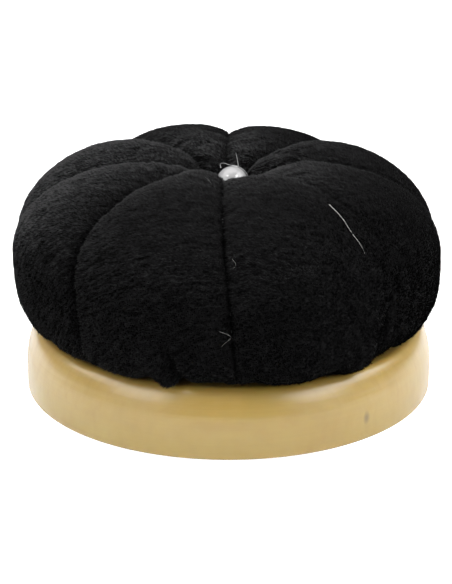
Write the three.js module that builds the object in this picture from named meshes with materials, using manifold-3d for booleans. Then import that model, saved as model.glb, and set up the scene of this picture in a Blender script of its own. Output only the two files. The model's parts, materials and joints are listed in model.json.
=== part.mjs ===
// A pumpkin-shaped pin cushion on a turned wooden base, in millimetres.
//
// Frame: +Z up, the origin at the centre of the base's underside, -Y towards the front.
// From the bottom up: the wooden base with a shallow turned seat, the glue that fills the
// seat, a gathered plush cover over a fibre filling, the strong thread that pulls the cover
// into eight lobes, and a pearl bead held in the top dimple by a clear nylon filament.

import * as THREE from "three";
import { mergeVertices } from "three/addons/utils/BufferGeometryUtils.js";
import Module from "manifold-3d";

const wasm = await Module();
wasm.setup();

// ---- Driving dimensions ---------------------------------------------------------------

const BASE_RADIUS = 40;
const BASE_HEIGHT = 13;
const BASE_FOOT_CHAMFER = 0.5;
const BASE_WALL_UPRIGHT = 3.25; // the side wall is upright below this height
const BASE_WALL_CROWN = 7.8; // height where the wall's upright and leaning lines would meet
const BASE_WALL_TOP = 10; // height where the side wall turns into the top roundover
const BASE_WALL_LEAN = 0.9; // how far the slightly crowned wall leans in by that height
const BASE_ROUNDOVER = 2.7; // how far in from there the flat top starts
const BASE_SHOULDER = 0.7; // how far in the roundover's corner point lies
const SEAT_RADIUS = 30;
const SEAT_DEPTH = 0.8;

const GAP = 0.3; // clear space left between neighbouring pieces
const GLUE_EDGE = 1; // the glue stops this far short of the seat's wall
const GLUE_BEVEL = 0.2;

const CUSHION_X = -0.6; // the cushion is glued on slightly off the base's centre
const LOBES = 8;
const EQUATOR_RADIUS = 42;
const EQUATOR_HEIGHT = 28.5;
const FLAT_RADIUS = 35.5; // the underside rests flat out to here
const CREST_RADIUS = 16;
const CREST_HEIGHT = 46;
const DIMPLE_RADIUS = 6;
const DIMPLE_HEIGHT = 36;
const LOWER_POWER = 2.7; // superellipse power of the bulge under the equator
const COVER_THICKNESS = 1.4;
const MOUTH_RADIUS = 5.3; // the gathered opening underneath
const CHANNEL_RADIUS = 2.1; // the opening on top, and the way through the filling

const GROOVE_UNDER = 0.8; // depths of the grooves between the lobes
const GROOVE_SIDE = 1.4;
const GROOVE_CREST = 2.2;
// Where points lie across a lobe, as shares of it: closer together beside the grooves.
const LOBE_SHARES = [0, 0.08, 0.25, 0.5, 0.75, 0.92];

const THREAD_RADIUS = 0.25;
const THREAD_LIFT = 0.6; // the thread's centre above the bottom of its groove
const THREAD_STEPS = 30; // straight lengths in each pass of thread
const BUNDLE_RADIUS = 0.5; // the eight passes of thread down the middle
const GATHER_RADIUS = 4.7;
const GATHER_LIFT = 1; // the gathering thread's centre above the cover's underside

const BEAD_RADIUS = 3;
const BEAD_HOLE_RADIUS = 0.45;
const BEAD_TILT = THREE.MathUtils.degToRad(28); // the bead's hole leans back
const FILAMENT_RADIUS = 0.1;
const FILAMENT_LOOP = 3.4; // radius of the loop that passes round the bead
const FILAMENT_OFFSET = 1.4; // from the cushion's axis, between two thread passes
const FILAMENT_AZIMUTH = THREE.MathUtils.degToRad(-22.5);
const BEAD_HEIGHT = 40;
const KNOT_RADIUS = 0.55;
const BEND_RADIUS = 0.16; // the small blob where lengths of filament meet
// The filament's two trimmed ends, as places measured from the top of its loop.
const UPRIGHT_END = [
  [0.45, 0.1, 0.2],
  [0.3, 0.15, 1.6],
  [0.1, 0.3, 3],
];
const CURLED_END = [
  [-0.7, 0, 0.45],
  [-1.7, -0.1, 0.8],
  [-2.3, -0.2, 0.55],
  [-2.2, -0.3, -0.25],
];

// How finely the curves are drawn: straight lengths in each.
const BASE_ROUND_STEPS = 72;
const BASE_CURVE_STEPS = 4;
const GLUE_ROUND_STEPS = 48;
const LOWER_STEPS = 7;
const UPPER_STEPS = 7;
const DIMPLE_STEPS = 4;
const GATHER_STEPS = 32;
const STRAND_SIDES = 6;
const BUNDLE_SIDES = 10;
const BEAD_ROUND_STEPS = 24;
const BEAD_ARC_STEPS = 12;
const LOOP_STEPS = 12;
const LOOP_STRAND_STEPS = 20;
const END_STRAND_STEPS = 10;
const KNOT_STEPS = [12, 8];
const BEND_STEPS = [8, 6];

// ---- Positions worked out from them ---------------------------------------------------

const LOBE_ANGLE = (2 * Math.PI) / LOBES;
const COVER_BOTTOM = BASE_HEIGHT + GAP;
const STRAND_BOTTOM = COVER_BOTTOM + GROOVE_UNDER - THREAD_LIFT;
const STRAND_TOP = DIMPLE_HEIGHT + THREAD_LIFT;
const GATHER_HEIGHT = COVER_BOTTOM + GATHER_LIFT;
const KNOT_HEIGHT = COVER_BOTTOM + COVER_THICKNESS;

const filamentX = FILAMENT_OFFSET * Math.cos(FILAMENT_AZIMUTH);
const filamentY = FILAMENT_OFFSET * Math.sin(FILAMENT_AZIMUTH);
const beadCentre = new THREE.Vector3(
  filamentX,
  filamentY + FILAMENT_LOOP * Math.sin(BEAD_TILT),
  BEAD_HEIGHT,
);

// ---- Helpers --------------------------------------------------------------------------

function solidOf(geometry) {
  const bare = new THREE.BufferGeometry();
  bare.setAttribute("position", geometry.getAttribute("position"));
  bare.setIndex(geometry.getIndex());
  const merged = mergeVertices(bare, 1e-4);
  const mesh = new wasm.Mesh({
    numProp: 3,
    vertProperties: new Float32Array(merged.attributes.position.array),
    triVerts: new Uint32Array(merged.index.array),
  });
  return new wasm.Manifold(mesh);
}

function geometryOf(solid) {
  const mesh = solid.getMesh();
  const geometry = new THREE.BufferGeometry();
  geometry.setAttribute("position", new THREE.BufferAttribute(mesh.vertProperties, 3));
  geometry.setIndex(new THREE.BufferAttribute(mesh.triVerts, 1));
  geometry.computeVertexNormals();
  return geometry;
}

function namedMesh(name, geometry, color, roughness) {
  const material = new THREE.MeshStandardMaterial({ color, roughness });
  const mesh = new THREE.Mesh(geometry, material);
  mesh.name = name;
  return mesh;
}

// A body of revolution about +Z from an outline of (radius, height) points.
function turned(outline, segments) {
  return new THREE.LatheGeometry(outline, segments).rotateX(Math.PI / 2);
}

function round(radius, sides) {
  const shape = new THREE.Shape();
  for (let i = 0; i < sides; i++) {
    const angle = (2 * Math.PI * i) / sides;
    const point = [radius * Math.cos(angle), radius * Math.sin(angle)];
    if (i === 0) shape.moveTo(...point);
    else shape.lineTo(...point);
  }
  return shape;
}

// A closed round strand along a smooth curve through the points.
function strand(points, radius, steps) {
  const extrudePath = new THREE.CatmullRomCurve3(points, false, "centripetal");
  const section = round(radius, STRAND_SIDES);
  return solidOf(new THREE.ExtrudeGeometry(section, { steps, extrudePath }));
}

function ball(radius, centre, steps) {
  const sphere = new THREE.SphereGeometry(radius, ...steps);
  return solidOf(sphere.translate(centre.x, centre.y, centre.z));
}

// A skin wrapped round a ring: `rings` is a closed loop of closed loops of points.
function wrappedSkin(rings) {
  const across = rings[0].length;
  const positions = rings.flat().flatMap((p) => [p.x, p.y, p.z]);
  const index = [];
  rings.forEach((ring, i) => {
    const next = (i + 1) % rings.length;
    ring.forEach((_, j) => {
      const beside = (j + 1) % across;
      const a = i * across + j;
      const b = i * across + beside;
      const c = next * across + beside;
      const d = next * across + j;
      index.push(a, b, c, a, c, d);
    });
  });
  const geometry = new THREE.BufferGeometry();
  geometry.setAttribute("position", new THREE.Float32BufferAttribute(positions, 3));
  geometry.setIndex(index);
  return geometry;
}

// ---- The cushion's lobed form ---------------------------------------------------------

// The crest line of one lobe from the underside to the dimple, as {radius, height, groove}
// with the depth of the groove beside it. `inset` moves the line inwards, into the cushion.
function crestLine(inset, holeBelow, holeAbove) {
  const bottom = COVER_BOTTOM + inset;
  const outer = EQUATOR_RADIUS - inset;
  const top = CREST_HEIGHT - inset;
  const wall = DIMPLE_RADIUS + inset;
  const floor = DIMPLE_HEIGHT - inset;
  const power = 2 / LOWER_POWER;
  const line = [{ radius: holeBelow, height: bottom, groove: GROOVE_UNDER }];
  for (const t of quarterTurn(0, LOWER_STEPS)) {
    line.push({
      radius: FLAT_RADIUS + (outer - FLAT_RADIUS) * Math.sin(t) ** power,
      height: EQUATOR_HEIGHT - (EQUATOR_HEIGHT - bottom) * Math.cos(t) ** power,
      groove: GROOVE_UNDER + (GROOVE_SIDE - GROOVE_UNDER) * Math.sin(t),
    });
  }
  for (const t of quarterTurn(1, UPPER_STEPS)) {
    line.push({
      radius: CREST_RADIUS + (outer - CREST_RADIUS) * Math.cos(t),
      height: EQUATOR_HEIGHT + (top - EQUATOR_HEIGHT) * Math.sin(t),
      groove: GROOVE_SIDE + (GROOVE_CREST - GROOVE_SIDE) * Math.sin(t),
    });
  }
  for (const t of quarterTurn(1, DIMPLE_STEPS)) {
    line.push({
      radius: CREST_RADIUS - (CREST_RADIUS - wall) * Math.sin(t),
      height: floor + (top - floor) * Math.cos(t),
      groove: GROOVE_CREST * Math.cos(t),
    });
  }
  line.push({ radius: holeAbove, height: floor, groove: 0 });
  return line;
}

// Angles from 0 to a right angle, starting at step `first` of `steps`.
function quarterTurn(first, steps) {
  const angles = [];
  for (let i = first; i <= steps; i++) angles.push((Math.PI / 2) * (i / steps));
  return angles;
}

// The line moved by `distance(point)` into the cushion, square to its own run.
function movedIn(line, distance) {
  return line.map((at, i) => {
    const before = line[Math.max(i - 1, 0)];
    const after = line[Math.min(i + 1, line.length - 1)];
    const run = Math.hypot(after.radius - before.radius, after.height - before.height);
    return {
      radius: at.radius - (distance(at) * (after.height - before.height)) / run,
      height: at.height + (distance(at) * (after.radius - before.radius)) / run,
    };
  });
}

function onAzimuth({ radius, height }, azimuth) {
  const x = radius * Math.cos(azimuth);
  const y = radius * Math.sin(azimuth);
  return new THREE.Vector3(x, y, height);
}

// Rings of points round the lobed form, one ring for each point of the crest line. Each
// lobe bulges as a parabola between its two grooves.
function lobedRings(line) {
  const columns = [];
  for (let lobe = 0; lobe < LOBES; lobe++) {
    for (const share of LOBE_SHARES) {
      const sink = (2 * share - 1) ** 2;
      const azimuth = (lobe + share) * LOBE_ANGLE;
      const sunk = movedIn(line, (at) => at.groove * sink);
      columns.push(sunk.map((point) => onAzimuth(point, azimuth)));
    }
  }
  return line.map((_, i) => columns.map((column) => column[i]));
}

// One pass of the lobe thread: out under the cushion, up a groove and into the dimple.
function grooveRun(azimuth) {
  const line = crestLine(0, MOUTH_RADIUS, CHANNEL_RADIUS);
  const run = movedIn(line, (at) => at.groove - THREAD_LIFT);
  run.unshift({ radius: 0, height: STRAND_BOTTOM });
  run.push({ radius: 0, height: STRAND_TOP });
  return run.map((point) => onAzimuth(point, azimuth));
}

// ---- The pieces -----------------------------------------------------------------------

function woodenBase() {
  const wallIn = BASE_RADIUS - BASE_WALL_LEAN;
  const outline = new THREE.Path();
  outline.moveTo(0, 0);
  outline.lineTo(BASE_RADIUS - BASE_FOOT_CHAMFER, 0);
  outline.lineTo(BASE_RADIUS, BASE_FOOT_CHAMFER);
  outline.lineTo(BASE_RADIUS, BASE_WALL_UPRIGHT);
  outline.quadraticCurveTo(BASE_RADIUS, BASE_WALL_CROWN, wallIn, BASE_WALL_TOP);
  outline.quadraticCurveTo(
    wallIn - BASE_SHOULDER,
    BASE_HEIGHT,
    wallIn - BASE_ROUNDOVER,
    BASE_HEIGHT,
  );
  outline.lineTo(SEAT_RADIUS, BASE_HEIGHT);
  outline.lineTo(SEAT_RADIUS, BASE_HEIGHT - SEAT_DEPTH);
  outline.lineTo(0, BASE_HEIGHT - SEAT_DEPTH);
  return turned(outline.getPoints(BASE_CURVE_STEPS), BASE_ROUND_STEPS);
}

function gluePad() {
  const low = BASE_HEIGHT - SEAT_DEPTH + GAP;
  const radius = SEAT_RADIUS - GLUE_EDGE;
  const outline = [
    new THREE.Vector2(0, low),
    new THREE.Vector2(radius, low),
    new THREE.Vector2(radius, BASE_HEIGHT - GLUE_BEVEL),
    new THREE.Vector2(radius - GLUE_BEVEL, BASE_HEIGHT),
    new THREE.Vector2(0, BASE_HEIGHT),
  ];
  return turned(outline, GLUE_ROUND_STEPS);
}

function plushCover() {
  const outside = lobedRings(crestLine(0, MOUTH_RADIUS, CHANNEL_RADIUS));
  const inside = lobedRings(crestLine(COVER_THICKNESS, MOUTH_RADIUS, CHANNEL_RADIUS));
  return wrappedSkin([...outside, ...inside.reverse()]);
}

function fibreStuffing() {
  const inset = COVER_THICKNESS + GAP;
  return wrappedSkin(lobedRings(crestLine(inset, CHANNEL_RADIUS, CHANNEL_RADIUS)));
}

function gatheringThread() {
  const ring = new THREE.TorusGeometry(
    GATHER_RADIUS,
    THREAD_RADIUS,
    STRAND_SIDES,
    GATHER_STEPS,
  );
  return ring.translate(0, 0, GATHER_HEIGHT);
}

function lobeThread() {
  const height = STRAND_TOP - STRAND_BOTTOM;
  const bundle = new THREE.CylinderGeometry(
    BUNDLE_RADIUS,
    BUNDLE_RADIUS,
    height,
    BUNDLE_SIDES,
  );
  bundle.rotateX(Math.PI / 2).translate(0, 0, STRAND_BOTTOM + height / 2);
  const runs = [solidOf(bundle)];
  for (let lobe = 0; lobe < LOBES; lobe++) {
    runs.push(strand(grooveRun(lobe * LOBE_ANGLE), THREAD_RADIUS, THREAD_STEPS));
  }
  return geometryOf(wasm.Manifold.union(runs));
}

// The bead about its own centre, with its hole along +Z.
function pearlBead() {
  const holeEnd = Math.sqrt(BEAD_RADIUS ** 2 - BEAD_HOLE_RADIUS ** 2);
  const outline = new THREE.Path();
  outline.moveTo(BEAD_HOLE_RADIUS, -holeEnd);
  const start = Math.asin(-holeEnd / BEAD_RADIUS);
  outline.absarc(0, 0, BEAD_RADIUS, start, -start, false);
  outline.lineTo(BEAD_HOLE_RADIUS, -holeEnd);
  return turned(outline.getPoints(BEAD_ARC_STEPS), BEAD_ROUND_STEPS);
}

// A half turn round the bead's right side, from above its hole to below it.
function filamentLoop() {
  const tilt = new THREE.Matrix4().makeRotationX(-BEAD_TILT);
  const points = [];
  for (let i = 0; i <= LOOP_STEPS; i++) {
    const angle = (Math.PI * i) / LOOP_STEPS;
    const x = FILAMENT_LOOP * Math.sin(angle);
    const z = FILAMENT_LOOP * Math.cos(angle);
    points.push(new THREE.Vector3(x, 0, z).applyMatrix4(tilt).add(beadCentre));
  }
  return points;
}

// The clear filament: a knot under the cover and a stem up to the bead, then through the
// bead's hole, round its right side and back, with two trimmed ends above the hole.
function beadFilament() {
  const loop = filamentLoop();
  const top = loop[0];
  const foot = loop[loop.length - 1];
  const knot = new THREE.Vector3(foot.x, foot.y, KNOT_HEIGHT);
  const trimmedEnd = (places) => {
    const points = places.map((place) => new THREE.Vector3(...place).add(top));
    return strand([top, ...points], FILAMENT_RADIUS, END_STRAND_STEPS);
  };
  return geometryOf(
    wasm.Manifold.union([
      ball(KNOT_RADIUS, knot, KNOT_STEPS),
      strand([knot, foot], FILAMENT_RADIUS, 1),
      strand([foot, top], FILAMENT_RADIUS, 1),
      strand(loop, FILAMENT_RADIUS, LOOP_STRAND_STEPS),
      ball(BEND_RADIUS, top, BEND_STEPS),
      ball(BEND_RADIUS, foot, BEND_STEPS),
      trimmedEnd(UPRIGHT_END),
      trimmedEnd(CURLED_END),
    ]),
  );
}

// ---- Assembly -------------------------------------------------------------------------

const cushion = new THREE.Group();
cushion.position.x = CUSHION_X;

const bead = namedMesh("pearl_bead", pearlBead(), 0xd8d8d6, 0.25);
bead.position.copy(beadCentre);
bead.rotation.x = -BEAD_TILT;

cushion.add(
  namedMesh("plush_cover", plushCover(), 0x0e0e0f, 0.95),
  namedMesh("fibre_stuffing", fibreStuffing(), 0xeeeeea, 1),
  namedMesh("gathering_thread", gatheringThread(), 0x141414, 0.8),
  namedMesh("lobe_thread", lobeThread(), 0x141414, 0.8),
  namedMesh("bead_filament", beadFilament(), 0xe6e6e6, 0.2),
  bead,
);

const pinCushion = new THREE.Group();
pinCushion.add(
  namedMesh("wooden_base", woodenBase(), 0xd2b27c, 0.35),
  namedMesh("glue_pad", gluePad(), 0xe8e0c8, 0.5),
  cushion,
);

export default pinCushion;
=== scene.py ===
import json
import math

import bpy
import numpy as np
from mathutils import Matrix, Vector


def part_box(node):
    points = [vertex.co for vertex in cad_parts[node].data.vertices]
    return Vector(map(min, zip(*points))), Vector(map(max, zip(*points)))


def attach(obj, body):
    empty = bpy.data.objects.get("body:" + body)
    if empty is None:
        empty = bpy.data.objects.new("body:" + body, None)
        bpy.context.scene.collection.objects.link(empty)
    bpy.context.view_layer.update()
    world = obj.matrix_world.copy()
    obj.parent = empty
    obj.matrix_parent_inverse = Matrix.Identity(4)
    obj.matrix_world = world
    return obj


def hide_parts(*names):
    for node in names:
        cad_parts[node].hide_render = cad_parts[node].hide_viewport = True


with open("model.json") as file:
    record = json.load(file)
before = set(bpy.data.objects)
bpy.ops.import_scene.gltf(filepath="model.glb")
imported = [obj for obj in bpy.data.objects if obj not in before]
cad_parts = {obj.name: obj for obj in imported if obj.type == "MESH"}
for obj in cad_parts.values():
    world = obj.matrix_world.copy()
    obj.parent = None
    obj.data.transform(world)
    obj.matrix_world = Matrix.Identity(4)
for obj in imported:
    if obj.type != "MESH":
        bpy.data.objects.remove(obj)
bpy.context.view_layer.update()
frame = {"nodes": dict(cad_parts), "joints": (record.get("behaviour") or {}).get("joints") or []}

MM = 0.001
BODY = "cushion"
BEAD_BODY = "bead"


# ---- Sizes read from the frame ----


def box_mm(node):
    low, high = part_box(node)
    return np.array(low) / MM, np.array(high) / MM


def node_points(node):
    vertices = frame["nodes"][node].data.vertices
    points = np.empty(len(vertices) * 3)
    vertices.foreach_get("co", points)
    return points.reshape(-1, 3) / MM


base_low, base_high = box_mm("wooden_base")
BASE_RADIUS = (base_high[0] - base_low[0]) / 2
BASE_TOP = base_high[2]

# AXIS is where the cushion's own axis stands, a little off the base's.
cover_low, cover_high = box_mm("plush_cover")
AXIS = np.array([(cover_low[0] + cover_high[0]) / 2, (cover_low[1] + cover_high[1]) / 2, 0])
cover_points = node_points("plush_cover") - AXIS
cover_radii = np.hypot(cover_points[:, 0], cover_points[:, 1])
EQUATOR_RADIUS = cover_radii.max()
EQUATOR_HEIGHT = cover_points[cover_radii.argmax(), 2]
COVER_BOTTOM = cover_low[2]
CREST_HEIGHT = cover_high[2]

bead_low, bead_high = box_mm("pearl_bead")
BEAD_CENTRE = (bead_low + bead_high) / 2
BEAD_RADIUS = (bead_high[0] - bead_low[0]) / 2
BEAD_AXIS = np.array(frame["joints"][0]["axis"])

glue_low, glue_high = box_mm("glue_pad")
gather_low, gather_high = box_mm("gathering_thread")


# ---- Numbers and noise ----


def smooth_step(x, low, high):
    t = np.clip((x - low) / (high - low), 0, 1)
    return t * t * (3 - 2 * t)


def value_noise(x, y, seed):
    """Smooth noise from -1 to 1, with one lattice cell to a unit of x and of y."""
    cells = 256
    table = np.random.default_rng(seed).uniform(-1, 1, (cells, cells))
    column = np.floor(x).astype(int)
    row = np.floor(y).astype(int)
    across = smooth_step(x - column, 0, 1)
    down = smooth_step(y - row, 0, 1)

    def at(right, below):
        return table[(column + right) % cells, (row + below) % cells]

    near = at(0, 0) * (1 - across) + at(1, 0) * across
    far = at(0, 1) * (1 - across) + at(1, 1) * across
    return near * (1 - down) + far * down


def unit(vectors):
    lengths = np.linalg.norm(vectors, axis=-1, keepdims=True)
    return vectors / np.maximum(lengths, 1e-9)


def azimuth_gap(a, b):
    """The signed difference between azimuths in degrees, from -180 to 180."""
    return (a - b + 180) % 360 - 180


def circle_angles(count):
    """Angles in radians, spaced evenly round a circle."""
    return 2 * np.pi * np.arange(count) / count


def polar(radius, angle, height):
    """Points from their distances from the Z axis, their angles in radians and heights."""
    parts = np.broadcast_arrays(radius * np.cos(angle), radius * np.sin(angle), height)
    return np.stack(parts, axis=-1)


def lengths_along(path):
    """How far along a path each of its points is."""
    steps = np.linalg.norm(np.diff(path, axis=0), axis=1)
    return np.concatenate([[0], np.cumsum(steps)])


# ---- Meshes ----


def placed(name, data):
    """A new object in the scene."""
    thing = bpy.data.objects.new(name, data)
    bpy.context.scene.collection.objects.link(thing)
    return thing


def mesh_object(name, points, faces, slot, material, node=None, body=BODY):
    """A mesh object from points in millimetres in the frame's axes. It rides on a body, and
    stands in for a CAD node if one is named."""
    mesh = bpy.data.meshes.new(name)
    points = np.asarray(points, float).reshape(-1, 3) * MM
    faces = faces if isinstance(faces, list) else faces.tolist()
    mesh.from_pydata(points.tolist(), [], faces)
    mesh.polygons.foreach_set("use_smooth", [True] * len(mesh.polygons))
    mesh.update()
    mesh.materials.append(material)
    piece = placed(name, mesh)
    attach(piece, body)
    if node:
        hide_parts(node)
    return piece


def set_attribute(piece, name, values):
    attribute = piece.data.attributes.new(name, "FLOAT", "POINT")
    attribute.data.foreach_set("value", np.asarray(values, np.float32).ravel())


def grid_faces(rows, columns, closed_rows=False):
    """Quads of a grid whose columns close on themselves, and whose rows may."""
    spans = rows if closed_rows else rows - 1
    i, j = np.meshgrid(np.arange(spans), np.arange(columns), indexing="ij")
    after = (i + 1) % rows
    beside = (j + 1) % columns
    corners = [i * columns + j, i * columns + beside, after * columns + beside, after * columns + j]
    return np.stack(corners, axis=-1).reshape(-1, 4)


def grid_normals(grid):
    """Unit normals of a grid whose rows climb and whose columns go round, facing out."""
    along = np.gradient(grid, axis=0)
    around = (np.roll(grid, -1, axis=1) - np.roll(grid, 1, axis=1)) / 2
    return unit(np.cross(around, along))


def turned_grid(outline, segments):
    """A closed outline of (radius, height) points turned about the Z axis."""
    outline = np.asarray(outline, float)
    return polar(outline[:, :1], circle_angles(segments), outline[:, 1:])


def capped(grid, first_pole, last_pole):
    """Points and faces of a grid closed at both ends by a fan to a pole."""
    rows, columns = grid.shape[:2]
    faces = grid_faces(rows, columns).tolist()
    pole = rows * columns
    last = (rows - 1) * columns
    for j in range(columns):
        beside = (j + 1) % columns
        faces.append([pole, beside, j])
        faces.append([pole + 1, last + j, last + beside])
    return np.vstack([grid.reshape(-1, 3), [first_pole, last_pole]]), faces


def curve_through(points, steps):
    """Points evenly along a smooth (Catmull-Rom) curve through the given ones."""
    points = np.asarray(points, float)
    padded = np.vstack([2 * points[0] - points[1], points, 2 * points[-1] - points[-2]])
    fine = []
    for p0, p1, p2, p3 in zip(padded, padded[1:], padded[2:], padded[3:]):
        t = np.linspace(0, 1, 20, endpoint=False)[:, None]
        bend = 2 * p0 - 5 * p1 + 4 * p2 - p3
        turn = -p0 + 3 * p1 - 3 * p2 + p3
        fine.append(0.5 * (2 * p1 + (p2 - p0) * t + bend * t**2 + turn * t**3))
    fine = np.vstack([*fine, points[-1:]])
    lengths = lengths_along(fine)
    even = np.linspace(0, lengths[-1], steps)
    return np.stack([np.interp(even, lengths, fine[:, k]) for k in range(3)], axis=-1)


def strand_parts(path, radius, sides=8, plies=1, pitch=1.0, closed=False, taper=0.0):
    """Points and faces of a strand along a path. With plies, it is twisted yarn: a section
    with one bulge for each ply, which turns once in every `pitch` millimetres."""
    path = np.asarray(path, float)
    if closed:
        run = unit(np.roll(path, -1, axis=0) - np.roll(path, 1, axis=0))
    else:
        run = unit(np.gradient(path, axis=0))
    side = unit(np.cross(run[0], [0.31, 0.52, 0.79]))
    lengths = lengths_along(path)
    angles = circle_angles(sides)
    rings = []
    for i, (point, ahead) in enumerate(zip(path, run)):
        side = unit(side - np.dot(side, ahead) * ahead)
        other = np.cross(ahead, side)
        turn = 2 * np.pi * lengths[i] / pitch
        bulge = 1.0 if plies == 1 else 0.78 + 0.22 * np.abs(np.cos(plies / 2 * (angles - turn)))
        reach = radius * bulge * (1 - taper * i / (len(path) - 1))
        ring = np.outer(reach * np.cos(angles), side) + np.outer(reach * np.sin(angles), other)
        rings.append(point + ring)
    grid = np.array(rings)
    if closed:
        return grid.reshape(-1, 3), grid_faces(len(path), sides, closed_rows=True).tolist()
    return capped(grid, path[0], path[-1])


def joined(parts):
    """Several (points, faces) parts as one."""
    all_points = []
    all_faces = []
    start = 0
    for points, faces in parts:
        all_points.append(points)
        all_faces.extend([[corner + start for corner in face] for face in faces])
        start += len(points)
    return np.vstack(all_points), all_faces


# ---- Material nodes ----


def grey(level):
    return (level, level, level, 1)


# The mix node's colour sockets, which share their names with its other kinds.
COLOUR_A = 6
COLOUR_B = 7
COLOUR_RESULT = 2


class Finish:
    """A node material being built round one Principled shader."""

    def __init__(self, name, **settings):
        self.material = bpy.data.materials.new(name)
        self.material.use_nodes = True
        self.tree = self.material.node_tree
        self.shader = self.tree.nodes["Principled BSDF"]
        self.place = self.add("ShaderNodeTexCoord").outputs["Object"]
        for key, value in settings.items():
            self.shader.inputs[key.replace("_", " ")].default_value = value

    def add(self, kind):
        return self.tree.nodes.new(kind)

    def feed(self, socket, value):
        if hasattr(value, "is_output"):
            self.tree.links.new(value, socket)
        else:
            socket.default_value = value

    def set(self, name, value):
        self.feed(self.shader.inputs[name], value)

    def colour(self, factor, first, second):
        self.set("Base Color", self.mix(factor, first, second))

    def roughness(self, value, from_low, from_high, to_low, to_high):
        self.set("Roughness", self.remap(value, from_low, from_high, to_low, to_high))

    def stretched(self, scale):
        node = self.add("ShaderNodeMapping")
        self.feed(node.inputs["Vector"], self.place)
        node.inputs["Scale"].default_value = scale
        return node.outputs["Vector"]

    def vector_math(self, operation, first, second=(0, 0, 0)):
        node = self.add("ShaderNodeVectorMath")
        node.operation = operation
        self.feed(node.inputs[0], first)
        self.feed(node.inputs[1], second)
        return node.outputs["Value" if operation == "LENGTH" else "Vector"]

    def height(self):
        split = self.add("ShaderNodeSeparateXYZ")
        self.feed(split.inputs["Vector"], self.place)
        return split.outputs["Z"]

    def turned(self, sway):
        """Places by their distance from the Z axis and their height, for marks left by
        turning. The sway is how much of the rest stays in, so that the marks wander."""
        reach = self.vector_math("LENGTH", self.vector_math("MULTIPLY", self.place, (1, 1, 0)))
        join = self.add("ShaderNodeCombineXYZ")
        self.feed(join.inputs["X"], reach)
        self.feed(join.inputs["Z"], self.height())
        rest = self.vector_math("MULTIPLY", self.place, (sway, sway, 0))
        return self.vector_math("ADD", join.outputs["Vector"], rest)

    def noise(self, scale, detail=3.0, vector=None, distortion=0.0):
        node = self.add("ShaderNodeTexNoise")
        self.feed(node.inputs["Vector"], self.place if vector is None else vector)
        node.inputs["Scale"].default_value = scale
        node.inputs["Detail"].default_value = detail
        node.inputs["Distortion"].default_value = distortion
        return node.outputs["Fac"]

    def attribute(self, name):
        node = self.add("ShaderNodeAttribute")
        node.attribute_name = name
        return node.outputs["Fac"]

    def remap(self, value, from_low, from_high, to_low, to_high):
        node = self.add("ShaderNodeMapRange")
        self.feed(node.inputs["Value"], value)
        ends = {"From Min": from_low, "From Max": from_high, "To Min": to_low, "To Max": to_high}
        for name, end in ends.items():
            node.inputs[name].default_value = end
        return node.outputs["Result"]

    def mix(self, factor, first, second):
        node = self.add("ShaderNodeMix")
        node.data_type = "RGBA"
        self.feed(node.inputs["Factor"], factor)
        self.feed(node.inputs[COLOUR_A], first)
        self.feed(node.inputs[COLOUR_B], second)
        return node.outputs[COLOUR_RESULT]

    def seen_or_not(self, seen, unseen):
        """One value for rays from the camera, and another for light that bounces."""
        path = self.add("ShaderNodeLightPath")
        return self.remap(path.outputs["Is Camera Ray"], 0, 1, unseen, seen)

    def bump(self, height, strength, distance):
        node = self.add("ShaderNodeBump")
        self.feed(node.inputs["Height"], height)
        node.inputs["Strength"].default_value = strength
        node.inputs["Distance"].default_value = distance
        self.set("Normal", node.outputs["Normal"])
        return node.outputs["Normal"]


# ---- The cushion's form ----

MOUTH_RADIUS = 5.3  # the gathered opening underneath
FLAT_RADIUS = 35.5  # the underside rests on the base out to here
CREST_RADIUS = 16.0
DIMPLE_RADIUS = 2.2
DIMPLE_HEIGHT = BEAD_CENTRE[2] - BEAD_RADIUS - 0.2
LOWER_POWER = 2.7  # superellipse power of the bulge under the equator
COVER_THICKNESS = 1.3
COVER_CLEARANCE = 0.15  # how far the cloth is kept off the base
PILE_CLEARANCE = 0.05
PILE_DEPTH = 0.35  # the pile stands this far off the cloth, inside the cover's whole size
BEAD_CLEARANCE = 0.12

# The grooves, anticlockwise from the front one. Each has its azimuths in the dimple and
# underneath, then, in millimetres, how deep it is on top, round the side and underneath,
# and how much deeper the thread cuts in.
GROOVES = (
    (-92.0, -86.5, 1.0, 0.7, 0.4, 0.6),
    (-44.0, -43.5, 0.7, 0.0, 0.7, 0.25),
    (-1.0, 1.0, 2.4, 1.5, 1.0, 0.8),
    (45.0, 46.0, 2.2, 1.4, 1.0, 0.8),
    (88.0, 90.0, 1.0, 1.0, 1.0, 0.35),
    (134.0, 135.0, 2.2, 1.4, 1.0, 0.8),
    (181.0, 180.0, 2.4, 1.6, 1.0, 0.9),
    (-139.5, -130.0, 2.5, 2.0, 1.2, 1.7),
)
LOBES = len(GROOVES)
GROOVE_TURNS = (-90, -50, 0, 60, 100, 150, 180)  # where groove_depths() sets a depth
# How much fuller each lobe is than an even one, on top and round the side, then beside the
# bead, then underneath. A lobe follows its groove above.
LOBE_FULLNESS = (
    (0.1, -3.0, 1.1),
    (-0.2, -1.7, 0.1),
    (0.1, 0.1, -1.1),
    (0.0, 0.0, 0.0),
    (0.4, 0.4, 0.0),
    (0.35, 0.4, -0.5),
    (-0.25, 0.0, -0.7),
    (0.1, 0.5, -0.2),
)

COLUMNS_PER_LOBE = 60
SIDE_ROWS = 170
FLAT_ROWS = 10
CREASE_WIDTH = 0.55
COLUMN_BUNCHING = 0.07  # moves columns towards the grooves, where the form is sharpest


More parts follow.
